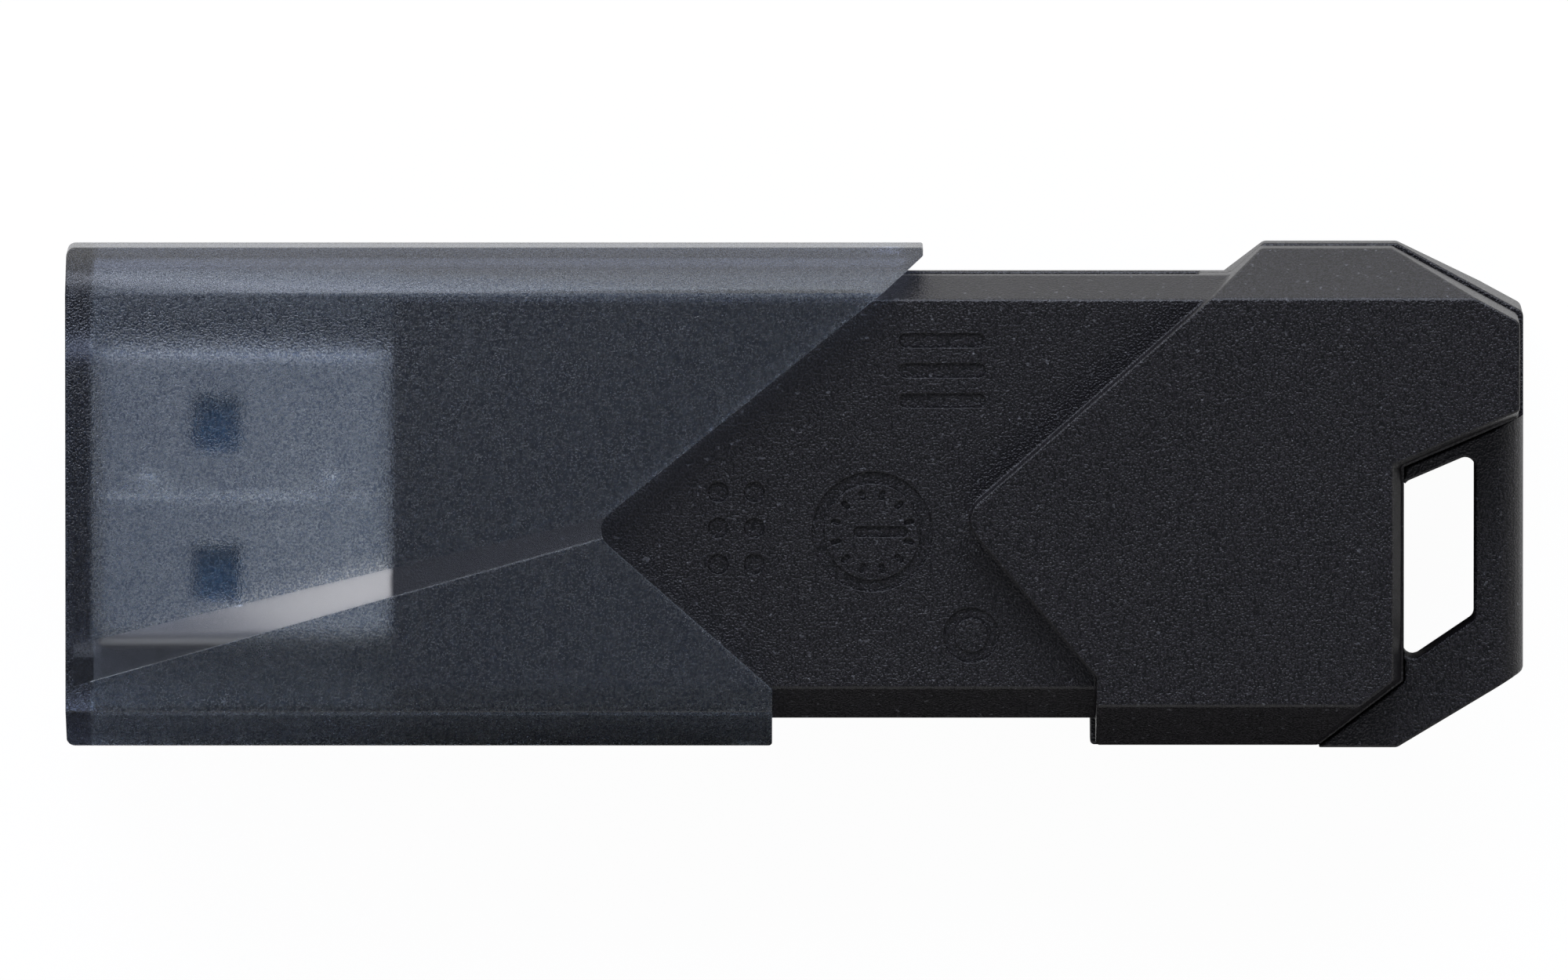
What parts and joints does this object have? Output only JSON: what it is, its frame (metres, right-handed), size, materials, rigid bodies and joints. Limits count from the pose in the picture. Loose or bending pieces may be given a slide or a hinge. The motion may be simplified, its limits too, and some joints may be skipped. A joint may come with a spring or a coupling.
{
  "type": "usb flash drive",
  "caption": "Memory stick with a translucent sliding cap, a stamped plug, a faceted two-shell housing with a chevron shoulder, and a slanted key loop.",
  "frame": {"origin": "middle of the stick's outline, on the plane that it lies on", "axes": "+X along the stick from the plug to the key loop, +Y across it, +Z out of the back face with the raised panel"},
  "size_m": [0.0604, 0.0208, 0.0101],
  "materials": {
    "cap_plastic": "translucent smoky blue-grey polycarbonate, fine spark-eroded grain",
    "shell_plastic": "black ABS, fine spark-eroded grain",
    "plug_steel": "nickel-plated stamped sheet",
    "tongue_plastic": "blue glass-filled nylon",
    "spacer_plastic": "black nylon",
    "contact_gold": "gold-plated copper alloy",
    "board_laminate": "green solder mask on glass-epoxy laminate",
    "chip_epoxy": "black moulding compound",
    "crystal_metal": "lapped metal lid",
    "ceramic_dark": "dark ceramic chip",
    "ceramic_tan": "tan ceramic chip"
  },
  "bodies": {
    "drive": {"back_shell": "shell_plastic", "front_shell": "shell_plastic", "plug_shell": "plug_steel", "plug_tongue": "tongue_plastic", "plug_spacer": "spacer_plastic", "pad_supply": "contact_gold", "pad_data_minus": "contact_gold", "pad_data_plus": "contact_gold", "pad_ground": "contact_gold", "spring_receive_minus": "contact_gold", "spring_receive_plus": "contact_gold", "spring_drain": "contact_gold", "spring_transmit_minus": "contact_gold", "spring_transmit_plus": "contact_gold", "circuit_board": "board_laminate", "controller_chip": "chip_epoxy", "flash_chip": "chip_epoxy", "crystal": "crystal_metal", "voltage_regulator": "chip_epoxy", "line_filters": "ceramic_dark", "capacitors": "ceramic_tan", "resistors": "ceramic_dark"},
    "cap": {"cap_sleeve": "cap_plastic"}
  },
  "joints": [
    {"name": "cap_slide", "type": "slide", "parent": "drive", "child": "cap", "axis": [1, 0, 0], "range_m": [0, 0.0123]}
  ]
}
